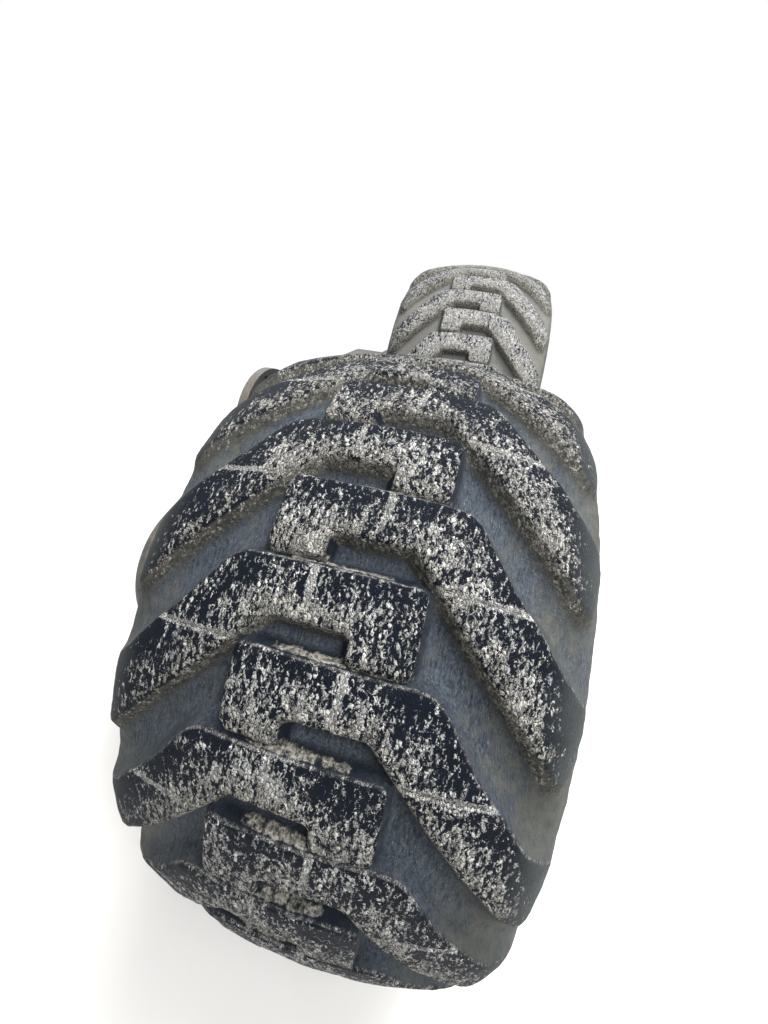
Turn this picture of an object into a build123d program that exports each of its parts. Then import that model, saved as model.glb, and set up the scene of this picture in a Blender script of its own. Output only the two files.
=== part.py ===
"""Right-hand two-wheel bogie of a wheeled forestry harvester, in millimetres.

The origin is the middle of the axle end's bolting face, on the axis that the
bogie swings about. +X is forward, +Y is inboard, +Z is up, so everything lies
at negative Y: outboard distances are written as positive numbers and are
measured along each axle plane's own Z, which points outboard.
"""

from build123d import *
from math import cos, radians, sin
import os

# Bogie layout
WHEELBASE = 1570
PIVOT_RISE = 75

# Axle end: bolting flange, neck and the journal that the case swings on
FLANGE_RADIUS = 240
FLANGE_THICKNESS = 34
FLANGE_BOLT_RING_RADIUS = 210
FLANGE_BOLT_COUNT = 16
FLANGE_HOLE_RADIUS = 11
FLANGE_REGISTER_RADIUS = 130
FLANGE_REGISTER_DEPTH = 10
NECK_RADIUS = 178
NECK_LENGTH = 74
JOURNAL_RADIUS = 150
JOURNAL_DEPTH = 118
RUNNING_CLEARANCE = 0.08

# Gear case: one casting with arched underside, closed by a bolted cover
CASE_INNER_FACE = 142
CASE_WIDTH = 226
CASE_END_RADIUS = 226
CASE_MIDDLE_RADIUS = 262
CASE_WAIST_INSET = 20
CASE_RIM_WIDTH = 30
CASE_EDGE_RADIUS = 26
CASE_ROOT_RADIUS = 10
ARCH_HALF_SPAN = 470
ARCH_RISE = 60
COVER_THICKNESS = 26
COVER_EDGE_CHAMFER = 7

# Small closures on the case
PIVOT_RING_RADIUS = 212
PIVOT_RING_THICKNESS = 26
PIVOT_RING_CHAMFER = 6
END_CAP_RADIUS = 118
END_CAP_HEIGHT = 22
IDLER_CAP_RADIUS = 62
IDLER_CAP_HEIGHT = 16
IDLER_COUNT = 2
CAP_TAPER_ANGLE = 12
PIVOT_CAP_RADIUS = 150
PIVOT_CAP_HEIGHT = 20
PIVOT_CAP_CHAMFER = 5
PLUG_RADIUS = 16
PLUG_HEIGHT = 14
BREATHER_BOSS_RADIUS = 24
BREATHER_BOSS_HEIGHT = 8
BREATHER_FOOT_RADIUS = 15
BREATHER_FOOT_HEIGHT = 12
BREATHER_CAP_RADIUS = 18
BREATHER_HEIGHT = 40

# Hub: fixed carrier on the cover, turning drum with the wheel flange, end cap
CARRIER_FLANGE_RADIUS = 205
CARRIER_FLANGE_THICKNESS = 26
CARRIER_BODY_RADIUS = 168
CARRIER_BODY_LENGTH = 34
SPINDLE_RADIUS = 118
SPINDLE_LENGTH = 120
SEAL_GAP = 6
HUB_DRUM_RADIUS = 192
HUB_FLANGE_RADIUS = 245
HUB_FLANGE_THICKNESS = 28
HUB_FLANGE_ROOT = 20
HUB_FACE = 690
PILOT_RADIUS = 185
PILOT_LENGTH = 46
HUB_CAP_RADIUS = 172
HUB_CAP_FLANGE_WIDTH = 22
HUB_CAP_FLANGE_THICKNESS = 20
HUB_CAP_HEIGHT = 92
HUB_CAP_DRAFT = 23
HUB_CAP_NOSE_RADIUS = 118
HUB_CAP_NOSE_CHAMFER = 10

# Wheel disc and its nuts
DISC_THICKNESS = 24
DISC_FIT = 0.3
DISC_FLAT_MARGIN = 7
DISC_SET_BACK = 34
STUD_RING_RADIUS = 212.5
STUD_COUNT = 12
NUT_ACROSS_FLATS = 36
NUT_HEIGHT = 26
STUD_RADIUS = 11
STUD_END = 9

# Rim for the tyre's bead seats
RIM_SEAT_DIAMETER = 673
RIM_WIDTH = 610
RIM_WALL = 13
RIM_FLANGE_HEIGHT = 38
SEAT_WIDTH = 52
SEAT_TAPER_ANGLE = 15
WELL_DEPTH = 36.5
WELL_SET_IN = 100
VALVE_RADIUS = 8
VALVE_LENGTH = 62
VALVE_INSET = 150

# Tyre
TYRE_DIAMETER = 1345
TYRE_WIDTH = 708
TYRE_TO_CASE = 44
TYRE_FIT = 0.3
BEAD_RISE = 4
WIDEST_DROP = 194.5
CARCASS_WALL = 34

# Tread: a level crown, a falling shoulder, and lugs that run down onto the sidewall
CROWN_HALF_WIDTH = 112
CROWN_DROP = 35
SHOULDER_SET_IN = 97
SHOULDER_ROOT = 30
LUG_TIP_SET_IN = 16
LUG_TIP_DROP = 106
LUG_TIP_DEPTH = 12
LUG_TIP_DRAFT = 2
LUG_ROOT = 12
TREAD_DEPTH = 38
SHOULDER_LUG_DEPTH = 34

# Lugs: a bar square across the middle, notched behind, with an arm raked back to the shoulder
LUG_COUNT = 18
LUG_STAGGER_ANGLE = 10.2
LUG_MIDDLE_ANGLE = 13
LUG_PHASE_ANGLE = {"rear": -24.5, "front": -13.7}
NOTCH_EDGE = 30
ELBOW_BEHIND_INNER = 76
ELBOW_BEHIND_OUTER = 104
ELBOW_AHEAD_INNER = 124
ELBOW_AHEAD_OUTER = 196
TIP_SLANT = 22

# Sizes that follow from the ones above
OUTBOARD = Vector(0, -1, 0)
CASE_JOINT = CASE_INNER_FACE + CASE_WIDTH
COVER_FACE = CASE_JOINT + COVER_THICKNESS
TYRE_RADIUS = TYRE_DIAMETER / 2
TYRE_HALF_WIDTH = TYRE_WIDTH / 2
TYRE_MIDDLE = COVER_FACE + TYRE_TO_CASE + TYRE_HALF_WIDTH
RIM_HALF_WIDTH = RIM_WIDTH / 2
SEAT_RADIUS = RIM_SEAT_DIAMETER / 2
SEAT_DROP = SEAT_WIDTH * sin(radians(SEAT_TAPER_ANGLE))
SEAT_TOE = RIM_HALF_WIDTH - SEAT_WIDTH
WELL_RADIUS = SEAT_RADIUS - WELL_DEPTH
WELL_HALF_WIDTH = RIM_HALF_WIDTH - WELL_SET_IN
DISC_FACE = HUB_FACE + DISC_THICKNESS
DISC_FLAT_RADIUS = HUB_FLANGE_RADIUS + DISC_FLAT_MARGIN
CARRIER_END = COVER_FACE + CARRIER_FLANGE_THICKNESS + CARRIER_BODY_LENGTH
SPINDLE_END = CARRIER_END + SPINDLE_LENGTH
HUB_BACK = CARRIER_END + SEAL_GAP
HUB_END = HUB_FACE + PILOT_LENGTH
WIDEST_RADIUS = TYRE_RADIUS - WIDEST_DROP
TREAD_HALF_WIDTH = TYRE_HALF_WIDTH - SHOULDER_SET_IN
LUG_TIP_HALF_WIDTH = TYRE_HALF_WIDTH - LUG_TIP_SET_IN
BREATHER_SEAT = CASE_MIDDLE_RADIUS - CASE_WAIST_INSET + BREATHER_BOSS_HEIGHT
SIDES = {"rear": -1, "front": 1}

# Lug outline: distance across the tyre from its middle plane towards the lug's
# own shoulder, and degrees around the tyre behind the front edge of the bar.
LUG_OUTLINE = (
    (-CROWN_HALF_WIDTH, 0.3),
    (ELBOW_AHEAD_INNER, 0.3),
    (ELBOW_AHEAD_OUTER, 5.6),
    (LUG_TIP_HALF_WIDTH, 19.8),
    (LUG_TIP_HALF_WIDTH - TIP_SLANT, 28.0),
    (ELBOW_BEHIND_OUTER, 8.4),
    (ELBOW_BEHIND_INNER, 6.6),
    (-NOTCH_EDGE, 6.6),
    (-NOTCH_EDGE, 9.6),
    (-CROWN_HALF_WIDTH, 9.6),
)


def axle_plane(x, z, outboard=0):
    """Plane square to an axle at a distance outboard of the bolting face."""
    return Plane(origin=(x, -outboard, z), x_dir=(1, 0, 0), z_dir=OUTBOARD)


def section_plane(x, z):
    """Plane through an axle for turned sections, radius by distance outboard."""
    return Plane(origin=(x, 0, z), x_dir=(1, 0, 0), z_dir=(0, 0, -1))


def turned(x, z):
    """Axis that a turned section at this axle is revolved about."""
    return Axis((x, 0, z), OUTBOARD)


def wheel_place(side):
    """Where a wheel's axle lies, forward and up from the pivot."""
    return SIDES[side] * WHEELBASE / 2, -PIVOT_RISE


def wheel_section(side, points):
    """Half section of a turned wheel piece, as radius and distance outboard."""
    x, z = wheel_place(side)
    with BuildSketch(section_plane(x, z)) as outline:
        with BuildLine():
            Polyline(*points, close=True)
        make_face()
    return outline.sketch


def both_ways(half, end=1):
    """Points from one side of the tyre's middle plane to the other, starting at one end."""
    there = [(radius, TYRE_MIDDLE + end * out) for radius, out in half]
    back = [(radius, TYRE_MIDDLE - end * out) for radius, out in reversed(half)]
    return there + back


os.makedirs("parts", exist_ok=True)
pieces = []


def keep(builder, name):
    """Label a finished piece and write it out."""
    builder.part.label = name
    export_step(builder.part, f"parts/{name}.step")
    pieces.append(name)


# Axle end with its bolting flange and journal
with BuildPart() as axle_end:
    with BuildSketch(section_plane(0, 0)):
        with BuildLine():
            Polyline(
                (0, FLANGE_REGISTER_DEPTH),
                (FLANGE_REGISTER_RADIUS, FLANGE_REGISTER_DEPTH),
                (FLANGE_REGISTER_RADIUS, 0),
                (FLANGE_RADIUS, 0),
                (FLANGE_RADIUS, FLANGE_THICKNESS),
                (NECK_RADIUS, FLANGE_THICKNESS),
                (JOURNAL_RADIUS, FLANGE_THICKNESS + NECK_LENGTH),
                (JOURNAL_RADIUS, CASE_INNER_FACE + JOURNAL_DEPTH),
                (0, CASE_INNER_FACE + JOURNAL_DEPTH),
                close=True,
            )
        make_face()
    revolve(axis=turned(0, 0))
    with BuildSketch(axle_plane(0, 0)):
        with PolarLocations(FLANGE_BOLT_RING_RADIUS, FLANGE_BOLT_COUNT):
            Circle(FLANGE_HOLE_RADIUS)
    extrude(amount=FLANGE_THICKNESS, mode=Mode.SUBTRACT)
keep(axle_end, "axle_end")


def case_outline(inset=0):
    """Side view of the case: two big ends and a middle boss, arched below."""
    for side in SIDES:
        with BuildSketch(Plane.XY, mode=Mode.PRIVATE) as arm:
            Circle(CASE_MIDDLE_RADIUS - inset)
            with Locations(wheel_place(side)):
                Circle(CASE_END_RADIUS - inset)
            make_hull()
        add(arm.sketch)
    bottom = -PIVOT_RISE - CASE_END_RADIUS
    with BuildSketch(Plane.XY, mode=Mode.PRIVATE) as arch:
        with BuildLine():
            ThreePointArc(
                (-ARCH_HALF_SPAN, bottom),
                (0, bottom + ARCH_RISE + inset),
                (ARCH_HALF_SPAN, bottom),
            )
            Polyline(
                (ARCH_HALF_SPAN, bottom),
                (ARCH_HALF_SPAN, 2 * bottom),
                (-ARCH_HALF_SPAN, 2 * bottom),
                (-ARCH_HALF_SPAN, bottom),
            )
        make_face()
    add(arch.sketch, mode=Mode.SUBTRACT)


# Gear case: waisted casting with a rim along its open edge and a boss for the breather
with BuildPart() as gear_case:
    with BuildSketch(axle_plane(0, 0, CASE_INNER_FACE)):
        case_outline(CASE_WAIST_INSET)
    extrude(amount=CASE_WIDTH)
    fillet(gear_case.faces().sort_by(Axis.Y)[-1].edges(), CASE_EDGE_RADIUS)
    with BuildSketch(axle_plane(0, 0, CASE_JOINT)):
        case_outline()
    extrude(amount=-CASE_RIM_WIDTH)
    rim_back = gear_case.faces().filter_by(Axis.Y).sort_by(Axis.Y)[1]
    fillet(rim_back.inner_wires()[0].edges(), CASE_ROOT_RADIUS)
    with BuildSketch(Plane.XY.offset(JOURNAL_RADIUS)):
        with Locations((0, -CASE_INNER_FACE - CASE_WIDTH / 2)):
            Circle(BREATHER_BOSS_RADIUS)
    extrude(amount=BREATHER_SEAT - JOURNAL_RADIUS)
    with BuildSketch(axle_plane(0, 0, CASE_INNER_FACE)):
        Circle(JOURNAL_RADIUS + RUNNING_CLEARANCE)
    extrude(amount=JOURNAL_DEPTH + SEAL_GAP, mode=Mode.SUBTRACT)
keep(gear_case, "gear_case")

# Bolted outer cover of the same outline
with BuildPart() as case_cover:
    with BuildSketch(axle_plane(0, 0, CASE_JOINT)):
        case_outline()
    extrude(amount=COVER_THICKNESS)
    chamfer(case_cover.faces().sort_by(Axis.Y)[0].edges(), COVER_EDGE_CHAMFER)
keep(case_cover, "case_cover")

# Ring that holds the journal's seal on the case's inner face
with BuildPart() as pivot_ring:
    with BuildSketch(axle_plane(0, 0, CASE_INNER_FACE)):
        Circle(PIVOT_RING_RADIUS)
        Circle(JOURNAL_RADIUS + RUNNING_CLEARANCE, mode=Mode.SUBTRACT)
    extrude(amount=-PIVOT_RING_THICKNESS)
    outer_edge = pivot_ring.faces().sort_by(Axis.Y)[-1].edges().sort_by(SortBy.RADIUS)[-1]
    chamfer(outer_edge, PIVOT_RING_CHAMFER)
keep(pivot_ring, "pivot_ring")

# Round closures over the wheel ends, inner face
with BuildPart() as end_caps:
    for side in SIDES:
        with BuildSketch(axle_plane(*wheel_place(side), CASE_INNER_FACE)):
            Circle(END_CAP_RADIUS)
        extrude(amount=-END_CAP_HEIGHT, taper=CAP_TAPER_ANGLE)
keep(end_caps, "end_caps")

# Closures over the idler gears, evenly between the pivot ring and each end cap
with BuildPart() as idler_caps:
    for side in SIDES:
        x, z = wheel_place(side)
        arm = Vector(x, z).length
        free = arm - END_CAP_RADIUS - PIVOT_RING_RADIUS - 2 * IDLER_CAP_RADIUS * IDLER_COUNT
        gap = free / (IDLER_COUNT + 1)
        for number in range(IDLER_COUNT):
            out = PIVOT_RING_RADIUS + gap + IDLER_CAP_RADIUS + number * (gap + 2 * IDLER_CAP_RADIUS)
            with BuildSketch(axle_plane(x * out / arm, z * out / arm, CASE_INNER_FACE)):
                Circle(IDLER_CAP_RADIUS)
            extrude(amount=-IDLER_CAP_HEIGHT, taper=CAP_TAPER_ANGLE)
keep(idler_caps, "idler_caps")

# Round closure over the pivot on the outer cover
with BuildPart() as pivot_cap:
    with BuildSketch(axle_plane(0, 0, COVER_FACE)):
        Circle(PIVOT_CAP_RADIUS)
    extrude(amount=PIVOT_CAP_HEIGHT)
    chamfer(pivot_cap.faces().sort_by(Axis.Y)[0].edges(), PIVOT_CAP_CHAMFER)
keep(pivot_cap, "pivot_cap")

# Oil plugs on the inner face, midway between each end cap and the rounded edge below it
with BuildPart() as oil_plugs:
    face_edge = CASE_END_RADIUS - CASE_WAIST_INSET - CASE_EDGE_RADIUS
    for side in SIDES:
        x, z = wheel_place(side)
        with BuildSketch(axle_plane(x, z - (END_CAP_RADIUS + face_edge) / 2, CASE_INNER_FACE)):
            RegularPolygon(PLUG_RADIUS, 6)
        extrude(amount=-PLUG_HEIGHT)
keep(oil_plugs, "oil_plugs")

# Breather: hexagon foot and round cap on the boss above the pivot
with BuildPart() as breather:
    with BuildSketch(Plane.XY.offset(BREATHER_SEAT)):
        with Locations((0, -CASE_INNER_FACE - CASE_WIDTH / 2)):
            RegularPolygon(BREATHER_FOOT_RADIUS, 6)
    extrude(amount=BREATHER_FOOT_HEIGHT)
    with BuildSketch(Plane.XY.offset(BREATHER_SEAT + BREATHER_FOOT_HEIGHT)):
        with Locations((0, -CASE_INNER_FACE - CASE_WIDTH / 2)):
            Circle(BREATHER_CAP_RADIUS)
    extrude(amount=BREATHER_HEIGHT - BREATHER_FOOT_HEIGHT)
keep(breather, "breather")

# Fixed hub carriers with their spindles
with BuildPart() as hub_carriers:
    for side in SIDES:
        profile = wheel_section(
            side,
            (
                (0, COVER_FACE),
                (CARRIER_FLANGE_RADIUS, COVER_FACE),
                (CARRIER_FLANGE_RADIUS, COVER_FACE + CARRIER_FLANGE_THICKNESS),
                (CARRIER_BODY_RADIUS, COVER_FACE + CARRIER_FLANGE_THICKNESS),
                (CARRIER_BODY_RADIUS, CARRIER_END),
                (SPINDLE_RADIUS, CARRIER_END),
                (SPINDLE_RADIUS, SPINDLE_END),
                (0, SPINDLE_END),
            ),
        )
        revolve(profile, axis=turned(*wheel_place(side)))
keep(hub_carriers, "hub_carriers")

for side in SIDES:
    x, z = wheel_place(side)
    axle = turned(x, z)

    # Turning hub: drum, wheel flange and pilot
    with BuildPart() as hub:
        profile = wheel_section(
            side,
            (
                (0, SPINDLE_END + SEAL_GAP),
                (SPINDLE_RADIUS + RUNNING_CLEARANCE, SPINDLE_END + SEAL_GAP),
                (SPINDLE_RADIUS + RUNNING_CLEARANCE, HUB_BACK),
                (HUB_DRUM_RADIUS, HUB_BACK),
                (HUB_DRUM_RADIUS, HUB_FACE - HUB_FLANGE_THICKNESS - HUB_FLANGE_ROOT),
                (HUB_FLANGE_RADIUS, HUB_FACE - HUB_FLANGE_THICKNESS),
                (HUB_FLANGE_RADIUS, HUB_FACE),
                (PILOT_RADIUS, HUB_FACE),
                (PILOT_RADIUS, HUB_END),
                (0, HUB_END),
            ),
        )
        revolve(profile, axis=axle)
    keep(hub, f"hub_{side}")

    # Planet gear cover on the hub's outer end
    with BuildPart() as hub_cap:
        cap_end = HUB_END + HUB_CAP_HEIGHT
        cap_body = HUB_CAP_RADIUS - HUB_CAP_FLANGE_WIDTH
        profile = wheel_section(
            side,
            (
                (0, HUB_END),
                (HUB_CAP_RADIUS, HUB_END),
                (HUB_CAP_RADIUS, HUB_END + HUB_CAP_FLANGE_THICKNESS),
                (cap_body, HUB_END + HUB_CAP_FLANGE_THICKNESS),
                (cap_body - HUB_CAP_DRAFT, cap_end - HUB_CAP_NOSE_CHAMFER),
                (HUB_CAP_NOSE_RADIUS, cap_end),
                (0, cap_end),
            ),
        )
        revolve(profile, axis=axle)
    keep(hub_cap, f"hub_cap_{side}")

    # Dished wheel disc, welded into the rim's well
    with BuildPart() as disc:
        profile = wheel_section(
            side,
            (
                (PILOT_RADIUS + DISC_FIT, HUB_FACE),
                (DISC_FLAT_RADIUS, HUB_FACE),
                (WELL_RADIUS - RIM_WALL, HUB_FACE + DISC_SET_BACK),
                (WELL_RADIUS - RIM_WALL, DISC_FACE + DISC_SET_BACK),
                (DISC_FLAT_RADIUS, DISC_FACE),
                (PILOT_RADIUS + DISC_FIT, DISC_FACE),
            ),
        )
        revolve(profile, axis=axle)
    keep(disc, f"disc_{side}")

    # Wheel nuts on their studs
    with BuildPart() as nuts:
        with BuildSketch(axle_plane(x, z, DISC_FACE)):
            with PolarLocations(STUD_RING_RADIUS, STUD_COUNT):
                RegularPolygon(NUT_ACROSS_FLATS / 2, 6, major_radius=False)
        extrude(amount=NUT_HEIGHT)
        with BuildSketch(axle_plane(x, z, DISC_FACE + NUT_HEIGHT)):
            with PolarLocations(STUD_RING_RADIUS, STUD_COUNT):
                Circle(STUD_RADIUS)
        extrude(amount=STUD_END)
    keep(nuts, f"wheel_nuts_{side}")

    # Rim: flanges, tapered bead seats and well
    with BuildPart() as rim:
        outer = (
            (SEAT_RADIUS + RIM_FLANGE_HEIGHT, RIM_HALF_WIDTH + RIM_WALL),
            (SEAT_RADIUS + RIM_FLANGE_HEIGHT, RIM_HALF_WIDTH),
            (SEAT_RADIUS, RIM_HALF_WIDTH),
            (SEAT_RADIUS - SEAT_DROP, SEAT_TOE),
            (WELL_RADIUS, WELL_HALF_WIDTH),
        )
        inner = (
            (SEAT_RADIUS - RIM_WALL, RIM_HALF_WIDTH + RIM_WALL),
            (SEAT_RADIUS - SEAT_DROP - RIM_WALL, SEAT_TOE),
            (WELL_RADIUS - RIM_WALL, WELL_HALF_WIDTH),
        )
        revolve(wheel_section(side, both_ways(outer) + both_ways(inner, -1)), axis=axle)
    keep(rim, f"rim_{side}")

    # Tyre valve standing out of the well towards the axle
    with BuildPart() as valve:
        with BuildSketch(Plane.XY.offset(z + WELL_RADIUS - RIM_WALL - VALVE_LENGTH)):
            with Locations((x, -TYRE_MIDDLE - VALVE_INSET)):
                Circle(VALVE_RADIUS)
        extrude(amount=VALVE_LENGTH)
        with BuildPart(mode=Mode.PRIVATE) as well_bore:
            with BuildSketch(axle_plane(x, z, TYRE_MIDDLE)):
                Circle(WELL_RADIUS - RIM_WALL)
            extrude(amount=WELL_HALF_WIDTH)
        add(well_bore.part, mode=Mode.INTERSECT)
    keep(valve, f"valve_{side}")

    # Lugs: bars cut to the crown and shoulder of the tread
    with BuildPart() as lugs:
        for hand in (-1, 1):
            lead = LUG_PHASE_ANGLE[side] - (LUG_STAGGER_ANGLE if hand > 0 else 0)
            planes = []
            for number in range(LUG_COUNT):
                turn = radians(lead - LUG_MIDDLE_ANGLE + number * 360 / LUG_COUNT)
                out = Vector(sin(turn), 0, cos(turn))
                middle = Vector(x, -TYRE_MIDDLE, z)
                planes.append(Plane(middle + out * TYRE_RADIUS, x_dir=(out.Z, 0, -out.X), z_dir=out))
            corners = [
                (TYRE_RADIUS * sin(radians(LUG_MIDDLE_ANGLE - behind)), hand * across)
                for across, behind in LUG_OUTLINE
            ]
            with BuildSketch(*planes):
                with BuildLine():
                    Polyline(*corners, close=True)
                make_face()
        extrude(amount=-WIDEST_DROP)
        tread = (
            (TYRE_RADIUS - TREAD_DEPTH - LUG_ROOT, CROWN_HALF_WIDTH),
            (TYRE_RADIUS - CROWN_DROP - SHOULDER_LUG_DEPTH - LUG_ROOT, TREAD_HALF_WIDTH - SHOULDER_ROOT),
            (TYRE_RADIUS - LUG_TIP_DROP - LUG_TIP_DEPTH - LUG_ROOT, LUG_TIP_HALF_WIDTH - LUG_TIP_DRAFT),
            (TYRE_RADIUS - LUG_TIP_DROP, LUG_TIP_HALF_WIDTH),
            (TYRE_RADIUS - CROWN_DROP, TREAD_HALF_WIDTH),
            (TYRE_RADIUS, CROWN_HALF_WIDTH),
        )
        with BuildPart(mode=Mode.PRIVATE) as tread_ring:
            revolve(wheel_section(side, both_ways(tread)), axis=axle)
        add(tread_ring.part, mode=Mode.INTERSECT)

    # Tyre: carcass with its beads in the rim's seats, and the lugs on it
    with BuildPart() as tyre:
        heel = RIM_HALF_WIDTH - TYRE_FIT
        wall = (
            (SEAT_RADIUS - SEAT_DROP + TYRE_FIT, SEAT_TOE),
            (SEAT_RADIUS + TYRE_FIT, heel),
            (SEAT_RADIUS + RIM_FLANGE_HEIGHT + BEAD_RISE, heel),
            (WIDEST_RADIUS, TYRE_HALF_WIDTH),
            (TYRE_RADIUS - LUG_TIP_DROP - LUG_TIP_DEPTH, LUG_TIP_HALF_WIDTH),
            (TYRE_RADIUS - CROWN_DROP - SHOULDER_LUG_DEPTH, TREAD_HALF_WIDTH - SHOULDER_ROOT),
            (TYRE_RADIUS - TREAD_DEPTH, CROWN_HALF_WIDTH),
        )
        shoulder_inside = TYRE_RADIUS - CROWN_DROP - SHOULDER_LUG_DEPTH - CARCASS_WALL
        liner = (
            (WIDEST_RADIUS, TYRE_HALF_WIDTH - CARCASS_WALL),
            (shoulder_inside, TREAD_HALF_WIDTH - SHOULDER_ROOT - CARCASS_WALL / 2),
            (TYRE_RADIUS - TREAD_DEPTH - CARCASS_WALL, CROWN_HALF_WIDTH),
        )
        revolve(wheel_section(side, both_ways(wall) + both_ways(liner, -1)), axis=axle)
        add(lugs.part)
    keep(tyre, f"tyre_{side}")

print(len(pieces), "pieces")
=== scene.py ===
import math
import random

import bmesh
import bpy
import numpy as np
from mathutils import Matrix, Vector, geometry, noise


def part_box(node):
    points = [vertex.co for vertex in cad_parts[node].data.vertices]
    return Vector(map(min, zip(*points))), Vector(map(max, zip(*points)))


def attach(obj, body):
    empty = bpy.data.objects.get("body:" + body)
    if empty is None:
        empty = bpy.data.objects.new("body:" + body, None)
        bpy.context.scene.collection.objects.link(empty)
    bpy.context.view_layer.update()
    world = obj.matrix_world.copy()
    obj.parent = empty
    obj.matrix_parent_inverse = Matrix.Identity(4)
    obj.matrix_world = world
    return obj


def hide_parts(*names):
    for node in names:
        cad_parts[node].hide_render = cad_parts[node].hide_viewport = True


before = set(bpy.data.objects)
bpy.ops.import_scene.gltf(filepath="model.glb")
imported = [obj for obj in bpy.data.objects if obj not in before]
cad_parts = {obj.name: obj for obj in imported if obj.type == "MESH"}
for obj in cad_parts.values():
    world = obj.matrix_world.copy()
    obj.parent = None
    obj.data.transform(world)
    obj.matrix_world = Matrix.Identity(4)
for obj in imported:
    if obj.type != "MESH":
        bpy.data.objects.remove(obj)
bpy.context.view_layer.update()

# Tread: a thick belt of hard, cut-resistant rubber, moulded in one piece with the cover.
# Eighteen bars a side stand on it in a chevron, the two sides half a pitch apart, each bar a wide
# block at the middle with an arm that sweeps back over the shoulder. Dried mud speckles the tops.

WHEELS = ("rear", "front")
tyre_low, tyre_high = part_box("tyre_rear")
TYRE_RADIUS = (tyre_high.z - tyre_low.z) / 2
TYRE_HALF_WIDTH = (tyre_high.y - tyre_low.y) / 2
BAR_COUNT = 18
PITCH = 2 * math.pi * TYRE_RADIUS / BAR_COUNT
STAGGER = 0.51 * PITCH
# For each side, its way out from the middle plane and how far back its bars lie.
HANDS = ((1, 0), (-1, STAGGER))
FIRST_BAR = {"rear": math.radians(-24.5), "front": math.radians(-13.7)}

# Cross-section of the tread's outer face, by distance along it from the middle plane: a shallow
# crown, then a shoulder that bends down to the widest place of the sidewall.
CROWN_HALF = 0.257
CROWN_DROP = 0.035
SHOULDER_BEND = ((0.312, 0.050), (0.354, 0.098))
WIDEST_DROP = 0.1945
SHOULDER_RUN = 0.195
TREAD_EDGE = 0.445
GROOVE_ACROSS = (0.0, 0.150, 0.257, 0.320, 0.362, 0.400, TREAD_EDGE)
GROOVE_DEPTHS = (0.038, 0.036, 0.032, 0.022, 0.0095, 0.0025, 0.0)

# Outline of a bar's top: distance across from the middle plane towards its own shoulder, distance
# behind its front edge, and the radius of that corner.
BAR_CORNERS = (
    (-0.112, 0.003, 0.013),
    (0.148, 0.005, 0.050),
    (0.212, 0.094, 0.090),
    (0.290, 0.180, 0.120),
    (0.384, 0.238, 0.034),
    (0.340, 0.341, 0.020),
    (0.262, 0.272, 0.120),
    (0.082, 0.0775, 0.014),
    (-0.030, 0.0775, 0.010),
    (-0.030, 0.1135, 0.010),
    (-0.112, 0.1155, 0.012),
)
# A bar's side from its top down to the groove: distance out from the outline, share of its height.
BAR_SIDE = (
    (-0.0120, 1.000), (-0.0070, 0.997), (-0.0038, 0.980), (-0.0014, 0.945),
    (0.0004, 0.880), (0.0026, 0.760), (0.0062, 0.530), (0.0100, 0.320),
    (0.0150, 0.145), (0.0215, 0.045), (0.0300, 0.000),
)
BAR_POINT_GAP = 0.005
# Fine slits moulded in a bar: their two ends, across and behind. Crumbs of mud lie along them.
BAR_SLITS = (
    ((0.036, 0.007), (0.033, 0.060)),
    ((0.112, 0.119), (0.240, 0.122)),
)
SLIT_HALF = 0.0028
SLIT_DEPTH = 0.0035
SLIT_CRUMBS = 0.0075
# Mud packed on the front wall of a bar's middle: how far out from the outline, half its height on
# the wall, how far it reaches across, and how thick it is.
MUD_OUT = 0.0044
MUD_SPREAD = 0.0023
MUD_HALF_LENGTH = 0.075
MUD_RIDGE = 0.002


def tread_face(along):
    """Distance out from the middle plane and radius of the tread's face, by distance along it."""
    run = np.abs(along)
    crown = TYRE_RADIUS - CROWN_DROP * (np.minimum(run, CROWN_HALF) / CROWN_HALF) ** 2
    t = np.clip((run - CROWN_HALF) / SHOULDER_RUN, 0, 1)
    bend = ((CROWN_HALF, CROWN_DROP), *SHOULDER_BEND, (TYRE_HALF_WIDTH, WIDEST_DROP))
    weights = ((1 - t) ** 3, 3 * t * (1 - t) ** 2, 3 * t * t * (1 - t), t**3)
    out = sum(w * place[0] for w, place in zip(weights, bend))
    drop = sum(w * place[1] for w, place in zip(weights, bend))
    on_shoulder = run > CROWN_HALF
    return np.sign(along) * np.where(on_shoulder, out, run), np.where(on_shoulder, TYRE_RADIUS - drop, crown)


def tread_point(along, sunk):
    """A point that is sunk below the tread's face, as distance out and radius."""
    step = 0.0005
    out, radius = tread_face(along)
    out_next, radius_next = tread_face(along + step)
    out_last, radius_last = tread_face(along - step)
    way = np.stack([out_next - out_last, radius_next - radius_last])
    way /= np.linalg.norm(way, axis=0)
    return out + way[1] * sunk, radius - way[0] * sunk


def rounded_path(corners, steps=12):
    """Points round straight runs whose corners, given as x, y and radius, are rounded."""
    path = []
    for i, (x, y, radius) in enumerate(corners):
        here = np.array((x, y))
        if radius == 0:
            path.append(here)
            continue
        back = np.array(corners[i - 1][:2]) - here
        ahead = np.array(corners[(i + 1) % len(corners)][:2]) - here
        back /= np.linalg.norm(back)
        ahead /= np.linalg.norm(ahead)
        half = math.acos(float(back @ ahead)) / 2
        middle = here + (back + ahead) / np.linalg.norm(back + ahead) * radius / math.sin(half)
        start = here + back * radius / math.tan(half) - middle
        end = here + ahead * radius / math.tan(half) - middle
        turn = math.atan2(start[0] * end[1] - start[1] * end[0], float(start @ end))
        for t in np.linspace(0, turn, steps + 1):
            c, s = math.cos(t), math.sin(t)
            path.append(middle + np.array((c * start[0] - s * start[1], s * start[0] + c * start[1])))
    return np.array(path)


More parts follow.
